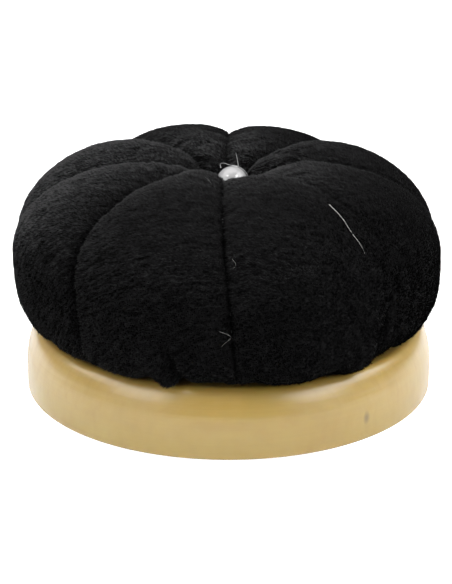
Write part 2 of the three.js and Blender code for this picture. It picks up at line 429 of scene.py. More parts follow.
def crest_line(places):
    """Radius, height and turn on the middle of an even lobe. A place runs from 0 at the
    mouth to 1 at the flat's rim, then to 2 in the dimple. The turn is -90 underneath,
    0 at the equator, 90 at the crest and 180 in the dimple."""
    t = np.linspace(0, np.pi / 2, 300)
    power = 2 / LOWER_POWER
    reach = EQUATOR_RADIUS - FLAT_RADIUS
    drop = EQUATOR_HEIGHT - COVER_BOTTOM
    rise = CREST_HEIGHT - EQUATOR_HEIGHT
    span = EQUATOR_RADIUS - CREST_RADIUS
    lower = (FLAT_RADIUS + reach * np.sin(t) ** power, EQUATOR_HEIGHT - drop * np.cos(t) ** power)
    upper = (CREST_RADIUS + span * np.cos(t), EQUATOR_HEIGHT + rise * np.sin(t))
    inner = (
        CREST_RADIUS - (CREST_RADIUS - DIMPLE_RADIUS) * np.sin(t),
        DIMPLE_HEIGHT + (CREST_HEIGHT - DIMPLE_HEIGHT) * np.cos(t),
    )
    line = np.hstack([lower, np.array(upper)[:, 1:], np.array(inner)[:, 1:]])
    degrees = np.degrees(t)
    turns = np.hstack([degrees - 90, degrees[1:], degrees[1:] + 90])
    steps = np.hypot(*np.diff(line, axis=1))
    run = np.concatenate([[0], np.cumsum(steps)])
    run /= run[-1]
    on_flat = np.clip(places, 0, 1)
    on_side = np.clip(places - 1, 0, 1)
    radius = np.interp(on_side, run, line[0])
    radius = np.where(places < 1, MOUTH_RADIUS + (FLAT_RADIUS - MOUTH_RADIUS) * on_flat, radius)
    height = np.interp(on_side, run, line[1])
    turn = np.interp(on_side, run, turns)
    return radius, height, turn


def cover_places(flat_rows, side_rows):
    flat = np.linspace(0, 1, flat_rows, endpoint=False)
    return np.concatenate([flat, 1 + np.linspace(0, 1, side_rows)])


def lobe_columns(per_lobe):
    """The lobe that each column is in, and its share of the way across that lobe."""
    lobe = np.repeat(np.arange(LOBES), per_lobe)
    share = np.tile(np.arange(per_lobe) / per_lobe, LOBES)
    return lobe, share - COLUMN_BUNCHING * np.sin(2 * np.pi * share)


def groove_azimuths(turn):
    """The azimuth of every groove at each turn, as an array of turns by grooves."""
    mix = smooth_step(turn, -90, 120)[:, None]
    top = np.array([groove[0] for groove in GROOVES])
    bottom = np.array([groove[1] for groove in GROOVES])
    return bottom + (top - bottom) * mix


def groove_depths(turn):
    """The depth of every groove at each turn, as an array of turns by grooves."""
    depths = []
    for _, _, top, side, under, _ in GROOVES:
        values = (0.8 * under, under, side, (side + top) / 2, top, 0.5 * top, 0)
        depths.append(np.interp(turn, GROOVE_TURNS, values))
    return np.stack(depths, axis=1)


def outward(radius, height):
    """The two parts, in columns, of the direction out of the cushion, square to the line."""
    rise = np.gradient(height)
    reach = np.gradient(radius)
    run = np.maximum(np.hypot(rise, reach), 1e-9)
    return (rise / run)[:, None], (-reach / run)[:, None]


def cover_form(places, per_lobe, inset=0.0, creased=True):
    """The cushion's lobed surface as a grid of points, with each point's azimuth in degrees,
    its turn, its distance from the nearest groove and how deep that groove is there."""
    radius, height, turn = crest_line(places)
    inset = inset + PILE_DEPTH
    lobe, share = lobe_columns(per_lobe)
    after = (lobe + 1) % LOBES
    azimuths = groove_azimuths(turn)
    width = (azimuths[:, after] - azimuths[:, lobe]) % 360
    azimuth = azimuths[:, lobe] + width * share
    depths = groove_depths(turn)
    depth = depths[:, lobe] * (1 - share) + depths[:, after] * share
    middle = 1 - (2 * share - 1) ** 2
    from_groove = np.minimum(share, 1 - share) * np.radians(width) * radius[:, None]

    sink = depth * np.abs(2 * share - 1) ** 2.2
    full = np.array(LOBE_FULLNESS)
    low = full[:, 2] * (smooth_step(turn, -85, -60) * (1 - smooth_step(turn, -30, 20)))[:, None]
    high = full[:, 0] + (full[:, 1] - full[:, 0]) * smooth_step(turn, 85, 125)[:, None]
    high = high * smooth_step(turn, -40, 60)[:, None]
    sink = sink - (low + high)[:, lobe] * middle
    if creased:
        cuts = np.array([groove[5] for groove in GROOVES])
        shallow = np.minimum(depths / 0.6, 1)
        cut = np.where(share < 0.5, (cuts * shallow)[:, lobe], (cuts * shallow)[:, after])
        fade = smooth_step(turn, -89, -60) * (1 - smooth_step(turn, 130, 170))
        sink = sink + cut * fade[:, None] * np.exp(-from_groove / CREASE_WIDTH)
    sink = sink * (1 - smooth_step(turn, 150, 180))[:, None] + inset

    out_r, out_z = outward(radius, height)
    r = radius[:, None] - sink * out_r
    z = height[:, None] - sink * out_z
    grid = polar(r, np.radians(azimuth), z)
    turns = np.repeat(turn[:, None], len(share), axis=1)
    held_down = np.where(share < 0.5, depths[:, lobe], depths[:, after])
    return grid, azimuth, turns, from_groove, held_down


# ---- Puffing the lobes by cloth simulation ----

SIM_PER_LOBE = 15
SIM_SIDE_ROWS = 44
SIM_FLAT_ROWS = 5
SIM_SCALE = 10  # cloth behaves better on an object near a metre across
SIM_FRAMES = 20
SIM_INSET = 0.5  # the cover starts this much inside, because it swells
SIM_MOST = 1.8  # how far, in millimetres, a point may move
SIM_CLOTH = {
    "quality": 6,
    "mass": 0.3,
    "tension_stiffness": 12,
    "compression_stiffness": 12,
    "shear_stiffness": 4,
    "bending_stiffness": 0.3,
    "shrink_min": -0.03,
    "use_pressure": True,
    "uniform_pressure_force": 4,
    "vertex_group_mass": "held",
    "pin_stiffness": 1,
}


def swelling():
    """How far the filled cover moves between its threads, as a grid of offsets in
    millimetres: a cloth simulation under pressure, held at the threads and underneath."""
    places = cover_places(SIM_FLAT_ROWS, SIM_SIDE_ROWS)
    form = cover_form(places, SIM_PER_LOBE, SIM_INSET, creased=False)
    grid, _, turns, from_groove, depth = form
    rows, columns = grid.shape[:2]
    points, faces = capped(grid, grid[0].mean(axis=0), grid[-1].mean(axis=0))
    points = points * MM * SIM_SCALE
    mesh = bpy.data.meshes.new("swelling")
    mesh.from_pydata(points.tolist(), [], faces)
    sheet = placed("swelling", mesh)
    held = ((from_groove < 0.1) & (depth > 0.4)) | (turns < -85) | (turns > 160)
    held = np.concatenate([np.flatnonzero(held.ravel()), [rows * columns, rows * columns + 1]])
    group = sheet.vertex_groups.new(name="held")
    group.add(held.tolist(), 1.0, "REPLACE")

    cloth = sheet.modifiers.new("cloth", "CLOTH")
    for name, value in SIM_CLOTH.items():
        setattr(cloth.settings, name, value)
    cloth.settings.effector_weights.gravity = 0
    cloth.collision_settings.use_collision = False
    cloth.collision_settings.use_self_collision = False
    for step in range(1, SIM_FRAMES + 1):
        bpy.context.scene.frame_set(step)
    evaluated = sheet.evaluated_get(bpy.context.evaluated_depsgraph_get())
    moved = np.empty(len(points) * 3)
    evaluated.data.vertices.foreach_get("co", moved)
    offsets = (moved.reshape(-1, 3) - points) / MM / SIM_SCALE
    bpy.context.scene.frame_set(1)
    bpy.data.objects.remove(sheet)
    bpy.data.meshes.remove(mesh)

    offsets = offsets[: rows * columns].reshape(rows, columns, 3)
    far = np.linalg.norm(offsets, axis=-1, keepdims=True)
    print("swelling: median %.2f mm, most %.2f mm" % (np.median(far), far.max()))
    return offsets * np.minimum(1, SIM_MOST / np.maximum(far, 1e-9))


def resampled(offsets, places, per_lobe):
    """A simulated grid's offsets, taken at the rows and columns of a finer grid."""
    coarse_places = cover_places(SIM_FLAT_ROWS, SIM_SIDE_ROWS)
    coarse_lobe, coarse_share = lobe_columns(SIM_PER_LOBE)
    lobe, share = lobe_columns(per_lobe)
    wrapped = np.concatenate([offsets, offsets[:, :1]], axis=1)
    coarse = np.append(coarse_lobe + coarse_share, LOBES)
    fine = np.empty((len(places), len(share), 3))
    for k in range(3):
        across = np.array([np.interp(lobe + share, coarse, row) for row in wrapped[:, :, k]])
        down = [np.interp(places, coarse_places, column) for column in across.T]
        fine[:, :, k] = np.array(down).T
    return softened(fine, 2)


def softened(values, times):
    """The grid of values with each one averaged with its neighbours, a number of times."""
    for _ in range(times):
        beside = (np.roll(values, 1, axis=1) + np.roll(values, -1, axis=1)) / 2
        padded = np.concatenate([values[:1], values, values[-1:]])
        above = (padded[:-2] + padded[2:]) / 2
        values = 0.5 * values + 0.25 * beside + 0.25 * above
    return values


# ---- The plush cover ----

PLEATS = 34
PLEAT_HEIGHT = 0.35
# The bigger folds low on the side: each one's azimuth at the turn of -60, how far it leans
# for each degree of turn, its height and its width in degrees. Creases have negative heights.
FOLDS = (
    (-106.4, -0.07, 1.5, 3.2),
    (-102.4, -0.07, -2.6, 1.2),
    (-51.6, 0.05, 0.6, 3.0),
    (-47.5, 0.05, -1.4, 1.3),
)
# How far the cover sags over the base's rim, by the azimuth from the front.
SAG_AZIMUTHS = (-64, -45, -32, -20, -10, 45, 75)
SAG_DEPTHS = (0, 1.2, 1.1, 0.7, 0.6, 0.5, 0)
RIB_HEIGHT = 0.13
RIM_WIDTH = 3.6  # the base's rounded edge starts this far inside its widest
RIM_FALL = 0.27  # and falls by this much times the square of the distance beyond that


def gathers(azimuth, turn):
    """What gathering leaves low on the side, as heights: soft pleats, bigger folds, and the
    sag over the base's rim. Also how creased each place is, from -0.5 on the folds to 1,
    which later paints shade into the creases and light onto the folds."""
    random = np.random.default_rng(11)
    height = np.zeros_like(azimuth)
    for _ in range(PLEATS):
        middle = random.uniform(-180, 180)
        width = random.uniform(1.5, 3.5)
        tall = random.uniform(-1, 1) * PLEAT_HEIGHT
        height = height + tall * np.exp(-(azimuth_gap(azimuth, middle) / width) ** 2)
    height = height * (1 - smooth_step(turn, -72, -25))
    low = smooth_step(turn, -88, -72) * (1 - smooth_step(turn, -48, -6))
    creased = np.zeros_like(azimuth)
    for middle, lean, tall, width in FOLDS:
        across = azimuth_gap(azimuth, middle + lean * (turn + 60))
        share = low * np.exp(-(across / width) ** 2)
        height = height + tall * share
        # This mask paints shade into the creases and light onto the folds.
        creased = creased + share * (1 if tall < 0 else -0.5)
    sag = np.interp(azimuth_gap(azimuth, -90), SAG_AZIMUTHS, SAG_DEPTHS)
    height = height + sag * smooth_step(turn, -90, -78) * (1 - smooth_step(turn, -60, -15))
    return height, creased


def fabric_places(grid, azimuth):
    """Each point's place in the flat round of fabric, in millimetres: as far from its centre
    as the point is from the dimple along the cover."""
    steps = np.linalg.norm(np.diff(grid, axis=0), axis=-1).mean(axis=1)
    from_dimple = np.concatenate([np.cumsum(steps[::-1])[::-1], [0]])[:, None]
    angle = np.radians(azimuth)
    return from_dimple * np.cos(angle), from_dimple * np.sin(angle)


def ribs(u, v):
    """The plush's nap as fine broken lines along u, from -1 to 1."""
    wave = 0.9 * value_noise(u / 6, v / 6, 21) + 0.3 * value_noise(u / 2.1, v / 2.1, 22)
    fine = value_noise(u / 0.22, (v + wave) / 0.18, 23)
    lines = value_noise(u / 1.6, (v + wave) / 0.25, 24)
    fluff = value_noise(u / 0.3, v / 0.3, 25)
    loose = tousled(u, v)
    return np.clip(0.9 * fine + 0.9 * (1 - 0.7 * loose) * lines + loose * fluff, -1, 1)


def tousled(u, v):
    """How rumpled the nap is, from 0 to 1: most low on the front right."""
    return smooth_step(u, 5, 30) * smooth_step(-v, 12, 36)


def clear_of_base(points, clearance):
    """Points kept this far above the base's top, and above its rounded edge outside that."""
    reach = np.hypot(points[..., 0] + AXIS[0], points[..., 1] + AXIS[1])
    beyond = np.maximum(reach - (BASE_RADIUS - RIM_WIDTH), 0)
    points[..., 2] = np.maximum(points[..., 2], BASE_TOP + clearance - RIM_FALL * beyond**2)
    return points


def clear_of_bead(points, clearance=BEAD_CLEARANCE):
    """Points that would lie in the bead, moved out to just clear of it."""
    away = points + AXIS - BEAD_CENTRE
    distance = np.linalg.norm(away, axis=-1, keepdims=True)
    least = BEAD_RADIUS + clearance
    moved = BEAD_CENTRE + away * least / np.maximum(distance, 1e-9) - AXIS
    return np.where(distance < least, moved, points)


def cover_surface():
    """The finished outside of the cover about the cushion's axis, and what lies on it."""
    places = cover_places(FLAT_ROWS, SIDE_ROWS)
    form = cover_form(places, COLUMNS_PER_LOBE, SIM_INSET)
    grid, azimuth, turns, from_groove, held = form
    grid = grid + resampled(swelling(), places, COLUMNS_PER_LOBE)
    normals = grid_normals(grid)
    gathered, creased = gathers(azimuth, turns)
    grid = grid + gathered[..., None] * normals
    u, v = fabric_places(grid, azimuth)
    rib = ribs(u, v)
    seen = smooth_step(turns, -88, -70) * (1 - smooth_step(turns, 165, 178))
    grid = grid + (RIB_HEIGHT * rib * seen)[..., None] * grid_normals(grid)
    grid = clear_of_bead(clear_of_base(grid, COVER_CLEARANCE))
    return {
        "grid": grid,
        "turns": turns,
        "u": u,
        "v": v,
        "gap": from_groove,
        "held": held,
        "creased": creased,
    }


# Rings under the bead, down to the small hole that the threads go through. Each has its
# share of the width of the cover's last ring, and how far it lies below that ring.
DIMPLE_RINGS = ((0.7, 0.05), (0.28, 0.3), (0.28, 1.5))


def dimple_floor(ring):
    """Rings that close the cover in under the bead, from the cover's last ring."""
    return np.array([ring * (share, share, 1) - (0, 0, drop) for share, drop in DIMPLE_RINGS])


def plush_cover(surface, material):
    """The cover as a closed skin: its outside, and a plainer inside joined at the mouth
    underneath and at the hole in the dimple."""
    outside = surface["grid"]
    smooth = softened(outside, 6)
    inner_rows = np.linspace(0, len(outside) - 1, 18).round().astype(int)
    inside = (smooth - COVER_THICKNESS * grid_normals(smooth))[inner_rows[::-1]]
    rings = np.concatenate([outside, dimple_floor(outside[-1]), inside])
    faces = grid_faces(len(rings), rings.shape[1], closed_rows=True)
    mesh_object("plush_cover_cloth", rings + AXIS, faces, "black_plush", material, "plush_cover")


# ---- The pile ----

FIBRES_PER_LOBE = 48000
FIBRE_LENGTH = 0.45
FIBRE_LIFT = 0.7  # height of a tip for each millimetre of length
FIBRE_WIDTH = 0.12
FIBRE_SUNK = 0.1  # how far its root lies in the cloth
# Each fibre's tone: painted shade at its root and painted light at its tip.
FIBRE_PAINTED_SHADING = (0.55, 0.55, 0.8, 1.7)  # at the root's three corners and the tip
FIBRE_FACES = np.array([(0, 2, 1), (0, 1, 3), (1, 2, 3), (2, 0, 3)])


def scattered(surface, lobe, count, random):
    """Points spread evenly over one lobe's shown side, with their normals, their directions
    along the fabric's u and v, and their fabric places."""
    grid = surface["grid"]
    normals = grid_normals(softened(grid, 3))
    rows = np.arange(FLAT_ROWS + 2, grid.shape[0] - 3)
    columns = lobe * COLUMNS_PER_LOBE + np.arange(COLUMNS_PER_LOBE)
    i, j = np.meshgrid(rows, columns, indexing="ij")
    beside = (j + 1) % grid.shape[1]
    across = grid[i, beside] - grid[i, j]
    up = grid[i + 1, j] - grid[i, j]
    area = np.linalg.norm(np.cross(across, up), axis=-1).ravel()
    cell = random.choice(area.size, count, p=area / area.sum())
    i, j, beside = i.ravel()[cell], j.ravel()[cell], beside.ravel()[cell]
    s, t = random.random((2, count))

    def between(values):
        w, z = (s, t) if values.ndim == 2 else (s[:, None], t[:, None])
        low = values[i, j] * (1 - w) + values[i, beside] * w
        high = values[i + 1, j] * (1 - w) + values[i + 1, beside] * w
        return low * (1 - z) + high * z

    u, v = surface["u"], surface["v"]
    across, up = grid[i, beside] - grid[i, j], grid[i + 1, j] - grid[i, j]
    u_across, v_across = u[i, beside] - u[i, j], v[i, beside] - v[i, j]
    u_up, v_up = u[i + 1, j] - u[i, j], v[i + 1, j] - v[i, j]
    area = u_across * v_up - u_up * v_across
    area = np.where(np.abs(area) < 1e-6, 1e-6, area)[:, None]
    along_u = (across * v_up[:, None] - up * v_across[:, None]) / area
    along_v = (up * u_across[:, None] - across * u_up[:, None]) / area
    return {
        "point": between(grid),
        "normal": unit(between(normals)),
        "along_u": unit(along_u),
        "along_v": unit(along_v),
        "u": between(u),
        "v": between(v),
        "gap": between(surface["gap"]),
        "creased": between(surface["creased"]),
    }


def nap_angle(u, v, random):
    """Which way each fibre lies, in radians from the fabric's -u: mostly straight, swaying
    in locks, and tousled low on the front right."""
    sway = 0.2 * value_noise(u / 5, v / 5, 31) + 0.15 * value_noise(u / 1.2, v / 0.6, 32)
    ruffle = 1.5 * tousled(u, v) * value_noise(u / 2.2, v / 2.2, 33)
    return sway + ruffle + random.normal(0, 0.25, len(u))


def pile(surface, lobe, material):
    """The pile on one lobe: closed, three-sided, pointed fibres that lean along the nap."""
    count = FIBRES_PER_LOBE
    random = np.random.default_rng(100 + lobe)
    spots = scattered(surface, lobe, count, random)
    normal = spots["normal"]
    angle = nap_angle(spots["u"], spots["v"], random)[:, None]
    ahead = -np.cos(angle) * spots["along_u"] + np.sin(angle) * spots["along_v"]
    ahead = unit(ahead - (ahead * normal).sum(axis=1, keepdims=True) * normal)
    side = np.cross(normal, ahead)
    rib = ribs(spots["u"], spots["v"])[:, None]
    length = FIBRE_LENGTH * (1 + 0.2 * rib) * random.uniform(0.75, 1.25, (count, 1))
    lift = FIBRE_LIFT * random.uniform(0.6, 1.4, (count, 1))
    width = FIBRE_WIDTH * random.uniform(0.8, 1.2, (count, 1))
    root = spots["point"] - FIBRE_SUNK * normal
    tip = spots["point"] + length * (ahead + lift * normal)
    half = 0.5 * width * side
    corners = [root - half, root + half, root + 0.87 * width * normal, tip]
    points = clear_of_bead(np.stack(corners, axis=1))
    points = clear_of_base(points, PILE_CLEARANCE)
    faces = (4 * np.arange(count)[:, None, None] + FIBRE_FACES).reshape(-1, 3)
    piece = mesh_object("plush_pile_%d" % (lobe + 1), points + AXIS, faces, "black_plush", material)
    contrast = 1.1 - 0.75 * smooth_step(normal[:, 2:], 0.1, 0.95)
    contrast = contrast + 0.9 * tousled(spots["u"], spots["v"])[:, None]
    streak = 0.45 + contrast * rib + random.normal(0, 0.15, (count, 1))
    # The streaks' tone times the pile's painted light and shade; each fibre then gets painted shade
    # at its root and painted light at its tip.
    tone = np.clip(streak, 0.02, 1.3) * painted_nap_shade(spots, ahead)[:, None]
    set_attribute(piece, "tone", np.clip(tone * FIBRE_PAINTED_SHADING, 0, 1))


def painted_nap_shade(spots, ahead):
    """Painted light and shade on the pile, from 0 to 1: lighter on top, where pile stands up
    and scatters the light, darker where it leans up and would trap it, lighter where it leans
    down and would shed it, darker on the front, the back and the right, lighter on the upper
    left, painted shade in the grooves and creases and painted light on the folds. Brushing
    leaves random patches."""
    patches = 0.13 * value_noise(spots["u"] / 13, spots["v"] / 13, 34)
    # Painted shade in the grooves and creases, and painted light on the folds.
    painted_crease_shade = (1 - 0.65 * np.exp(-spots["gap"] / 0.6)) * (1 - 0.8 * spots["creased"])
    # Painted light on pile that faces up and on the upper left, and painted shade on the sides, the
    # back, the front and the right.
    upright = 0.25 + 0.75 * smooth_step(spots["normal"][:, 2], -0.1, 1)
    left = smooth_step(-spots["u"], 12, 36) * smooth_step(spots["normal"][:, 2], 0.2, 0.7)
    upright = upright * (1 - 0.68 * smooth_step(spots["v"], 8, 24))
    upright = upright * (1 - 0.6 * smooth_step(-spots["v"], 5, 30))
    upright = upright * (1 - 0.7 * smooth_step(spots["u"], 5, 36)) * (1 + 0.22 * left)
    # Pile that leans up is painted darker, and pile that leans down lighter.
    return np.clip(0.54 - 0.28 * ahead[:, 2] + patches, 0.1, 1) * painted_crease_shade * upright


# ---- Threads, filling and glue ----

THREAD_RADIUS = 0.22
THREAD_PITCH = 1.1
THREAD_SUNK = 0.2  # the pile and the cloth close over the thread
THREAD_CLEARANCE = 0.2
BUNDLE_RADIUS = 0.5
STITCH_WAVES = 14  # how many times the gathering thread dips in and out


def lobe_thread(surface, material):
    """The strong thread: a pass in each groove, and the eight passes down the middle."""
    grid = surface["grid"]
    normals = grid_normals(softened(grid, 6))
    parts = []
    for groove in range(LOBES):
        column = groove * COLUMNS_PER_LOBE
        sunk = THREAD_SUNK + 0.4 * (1 - np.minimum(surface["held"][:, column] / 0.6, 1))
        sunk = sunk + 0.6 * (1 - smooth_step(surface["turns"][:, column], -70, -30))
        run = grid[:, column] - sunk[:, None] * normals[:, column]
        run = clear_of_bead(run, 2 * THREAD_RADIUS)
        run = clear_of_base(run, THREAD_RADIUS + THREAD_CLEARANCE)
        low_end = [[0.3 * run[0, 0], 0.3 * run[0, 1], run[0, 2]]]
        path = curve_through(np.vstack([low_end, run[::4], run[-1:]]), 150)
        parts.append(strand_parts(path + AXIS, THREAD_RADIUS, 6, 2, THREAD_PITCH))
    low = np.array([0, 0, COVER_BOTTOM + 0.3])
    high = np.array([0, 0, DIMPLE_HEIGHT - 0.3])
    path = low + np.linspace(0, 1, 90)[:, None] * (high - low)
    parts.append(strand_parts(path + AXIS, BUNDLE_RADIUS, 16, 8, 6.0))
    mesh_object("lobe_thread_strand", *joined(parts), "black_thread", material, "lobe_thread")


def gathering_thread(material):
    """The running stitch round the mouth, dipping in and out of the cloth."""
    radius = (gather_high[0] - gather_low[0]) / 2 - THREAD_RADIUS
    centre = (gather_low[2] + gather_high[2]) / 2
    angle = circle_angles(240)
    reach = radius + 0.12 * np.sin(STITCH_WAVES * angle)
    height = centre + 0.25 * np.cos(STITCH_WAVES * angle)
    path = polar(reach, angle, height) + AXIS
    part = strand_parts(path, THREAD_RADIUS, 6, 2, THREAD_PITCH, closed=True)
    mesh_object("gathering_stitch", *part, "black_thread", material, "gathering_thread")


FILLING_HOLE = 1.9  # radius of the threads' way through the filling
FILLING_GAP = 0.9


def filling(surface, material):
    """The fibre filling: a lumpy form just inside the cover, with the threads' way through.
    Towards the dimple it lies deeper, so that it doesn't show beside the bead."""
    coarse = softened(surface["grid"], 8)[::3, ::3]
    radius, height, turn = crest_line(cover_places(FLAT_ROWS, SIDE_ROWS)[::3])
    out_r, out_z = outward(radius, height)
    rows, columns = coarse.shape[:2]
    i, j = np.meshgrid(np.arange(rows), np.arange(columns), indexing="ij")
    wrap = 14 * np.cos(2 * np.pi * j / columns), 14 * np.sin(2 * np.pi * j / columns)
    lumps = value_noise(wrap[0] + i / 5, wrap[1] - i / 5, 41)
    wisps = value_noise(3 * wrap[0] + i / 1.6, 3 * wrap[1], 42)
    depth = COVER_THICKNESS + FILLING_GAP + 0.35 * lumps + 0.2 * wisps
    depth = depth + 1.2 * smooth_step(turn, 95, 160)[:, None]
    angle = np.arctan2(coarse[..., 1], coarse[..., 0])
    out_z = out_z + smooth_step(turn, 100, 150)[:, None]
    grid = coarse - depth[..., None] * unit(polar(out_r, angle, out_z))
    rise = np.linspace(grid[-1, 0, 2], grid[0, 0, 2], 14)[1:-1]
    angle = np.arctan2(grid[-1, :, 1], grid[-1, :, 0])
    wall = []
    for share, height in zip(np.linspace(0, 1, 12), rise):
        reach = FILLING_HOLE + 0.15 * np.sin(5 * angle + 9 * share)
        wall.append(polar(reach, angle, height))
    grid = np.concatenate([grid, np.array(wall)])
    faces = grid_faces(len(grid), columns, closed_rows=True)
    mesh_object("fibre_filling", grid + AXIS, faces, "white_fibre", material, "fibre_stuffing")


def glue_spread(material):
    """The glue as it set: a pressed puddle with an uneven edge."""
    radius = (glue_high[0] - glue_low[0]) / 2
    angle = circle_angles(200)
    wobble = value_noise(3 + 2.2 * np.cos(angle), 3 + 2.2 * np.sin(angle), 51)
    edge = radius * (0.93 + 0.06 * wobble)
    middle = (glue_low[2] + glue_high[2]) / 2
    half = (glue_high[2] - glue_low[2]) / 2
    rings = []
    for t in np.linspace(-np.pi / 2, np.pi / 2, 9):
        rings.append((1 - 0.35 / radius * (1 - np.cos(t)), middle + half * np.sin(t)))
    inner = [0.92, 0.8, 0.6, 0.4, 0.2, 0.05]
    outline = [(share, glue_low[2]) for share in inner[::-1]]
    outline += rings
    outline += [(share, glue_high[2]) for share in inner]
    grid = []
    for share, height in outline:
        dents = 0.06 * (value_noise(share * 9 + angle, 5 * np.cos(angle), 52) - 1)
        z = height + dents if height > middle else height
        grid.append(polar(share * edge, angle, z))
    part = capped(np.array(grid), (0, 0, glue_low[2]), (0, 0, glue_high[2] - 0.05))
    mesh_object("set_glue", *part, "hot_glue", material, "glue_pad")


# ---- The wooden base ----

BASE_FOOT = 0.6  # how far the rounded foot reaches in and up
BASE_WALL_UPRIGHT = 3.25  # the side wall is upright below this height
BASE_WALL_CROWN = 7.2  # height where the wall's upright and leaning lines would meet
BASE_WALL_TOP = 9.0  # height where the side wall turns into the top roundover
BASE_WALL_LEAN = 0.6  # how far the slightly crowned wall leans in by that height
BASE_ROUNDOVER = 3.0  # how far in from there the flat top starts
BASE_SHOULDER = 1.0  # how far in the roundover's corner point lies
BASE_SEGMENTS = 320
SEAT_RADIUS = 30.0
SEAT_EDGE = 0.2  # the bevel round the seat
SEAT_FLOOR = BASE_TOP - 0.8


def bezier(start, control, end, steps):
    t = np.linspace(0, 1, steps)[:, None]
    start, control, end = np.array(start), np.array(control), np.array(end)
    return (1 - t) ** 2 * start + 2 * t * (1 - t) * control + t**2 * end


def wooden_base(material):
    wall_in = BASE_RADIUS - BASE_WALL_LEAN
    wall_end = (wall_in, BASE_WALL_TOP)
    flat_start = (wall_in - BASE_ROUNDOVER, BASE_TOP)
    foot = bezier((BASE_RADIUS - BASE_FOOT, 0), (BASE_RADIUS, 0), (BASE_RADIUS, BASE_FOOT), 8)
    wall = bezier((BASE_RADIUS, BASE_WALL_UPRIGHT), (BASE_RADIUS, BASE_WALL_CROWN), wall_end, 20)
    shoulder = bezier(wall_end, (wall_in - BASE_SHOULDER, BASE_TOP), flat_start, 28)
    under = [(r, 0.0) for r in (1, 14, 28, 38)]
    top_flat = [(r, BASE_TOP) for r in (34.5, 32)]
    seat = [(SEAT_RADIUS + SEAT_EDGE, BASE_TOP), (SEAT_RADIUS, BASE_TOP - SEAT_EDGE)]
    floor = [(SEAT_RADIUS - 0.02, SEAT_FLOOR + 0.05), (SEAT_RADIUS - 0.1, SEAT_FLOOR)]
    inner = [(r, SEAT_FLOOR) for r in (28, 14, 1)]
    outline = np.vstack([under, foot, wall, shoulder[1:], top_flat, seat, floor, inner])
    part = capped(turned_grid(outline, BASE_SEGMENTS), (0, 0, 0), (0, 0, SEAT_FLOOR))
    mesh_object("turned_wooden_base", *part, "varnished_wood", material, "wooden_base")


# ---- The bead and its filament ----

BEAD_HOLE_RADIUS = 0.45
BEAD_HOLE_RIM = 0.12  # width of the eased edge of the hole
BEAD_HOLE_BEVEL = 0.03
FILAMENT_RADIUS = 0.04
UPRIGHT_RADIUS = 0.08  # two strands laid together
FILAMENT_LOOP = 3.2
FILAMENT_KNOT_RADIUS = 0.55
MELTED_END_RADIUS = 0.1


def bead_frame():
    """The bead's own X, Y and Z as rows: Z along its hole."""
    z = unit(BEAD_AXIS)
    x = np.array([1.0, 0.0, 0.0])
    return np.array([x, np.cross(z, x), z])


def pearl_bead(material):
    rim = BEAD_HOLE_RIM
    hole_end = math.sqrt(BEAD_RADIUS**2 - (BEAD_HOLE_RADIUS + rim) ** 2)
    start = math.asin(-hole_end / BEAD_RADIUS)
    angles = np.linspace(start, -start, 60)
    outline = [(BEAD_RADIUS * math.cos(a), BEAD_RADIUS * math.sin(a)) for a in angles]
    bevel = (BEAD_HOLE_RADIUS + BEAD_HOLE_BEVEL, hole_end - BEAD_HOLE_BEVEL)
    outline += [bevel, (BEAD_HOLE_RADIUS, hole_end - rim)]
    outline += [(BEAD_HOLE_RADIUS, z) for z in np.linspace(hole_end - 0.6, 0.6 - hole_end, 6)]
    outline += [(BEAD_HOLE_RADIUS, rim - hole_end), (bevel[0], -bevel[1])]
    grid = turned_grid(outline, 96) @ bead_frame() + BEAD_CENTRE
    faces = grid_faces(*grid.shape[:2], closed_rows=True)
    mesh_object("pearl_bead_shell", grid, faces, "pearl", material, "pearl_bead", BEAD_BODY)


def nylon_filament(material):
    axes = bead_frame()
    angle = np.linspace(0, np.pi, 40)
    x = FILAMENT_LOOP * np.sin(angle)
    z = FILAMENT_LOOP * np.cos(angle)
    loop = np.stack([x, 0 * x, z], axis=-1) @ axes + BEAD_CENTRE
    top, foot = loop[0], loop[-1]
    knot = np.array([foot[0], foot[1], COVER_BOTTOM + COVER_THICKNESS])
    upright = [top, top + (1.1, 0.1, -0.2), top + (1, 0.15, 1.1), top + (0.7, 0.3, 2.5)]
    curled = [top, top + (-0.7, 0, 0.15), top + (-1.6, -0.1, 0.5), top + (-2.3, -0.2, 0.35)]
    curled.append(top + (-2.2, -0.3, -0.3))
    paths = [
        (knot + np.linspace(0, 1, 30)[:, None] * (foot - knot), FILAMENT_RADIUS, 0),
        (foot + np.linspace(0, 1, 12)[:, None] * (top - foot), FILAMENT_RADIUS, 0),
        (loop, FILAMENT_RADIUS, 0),
        (curve_through(upright, 40), UPRIGHT_RADIUS, 0.8),
        (curve_through(curled, 60), FILAMENT_RADIUS, 0.3),
    ]
    parts = []
    for path, radius, taper in paths:
        parts.append(strand_parts(path, radius, 10, taper=taper))
    parts.append(blob(curled[-1], MELTED_END_RADIUS))
    parts.append(blob(knot, FILAMENT_KNOT_RADIUS))
    mesh_object("nylon_filament", *joined(parts), "clear_nylon", material, "bead_filament")


def blob(centre, radius):
    """A small round bead of melted or knotted filament, slightly uneven."""
    angles = np.linspace(-np.pi / 2, np.pi / 2, 14)[1:-1]
    outline = [(math.cos(a) * (1 + 0.06 * math.sin(5 * a)), math.sin(a)) for a in angles]
    points, faces = capped(radius * turned_grid(outline, 20), (0, 0, -radius), (0, 0, radius))
    return points + centre, faces


# ---- Stray fibres ----


def surface_point(surface, azimuth, turn, lift):
    """The point of the cover at an azimuth and a turn, lifted off it, in the row frame."""
    grid = surface["grid"]
    row = np.abs(surface["turns"][:, 0] - turn).argmin()
    angles = np.degrees(np.arctan2(grid[row, :, 1], grid[row, :, 0]))
    column = np.abs(azimuth_gap(angles, azimuth)).argmin()
    return grid[row, column] + lift * grid_normals(grid)[row, column] + AXIS


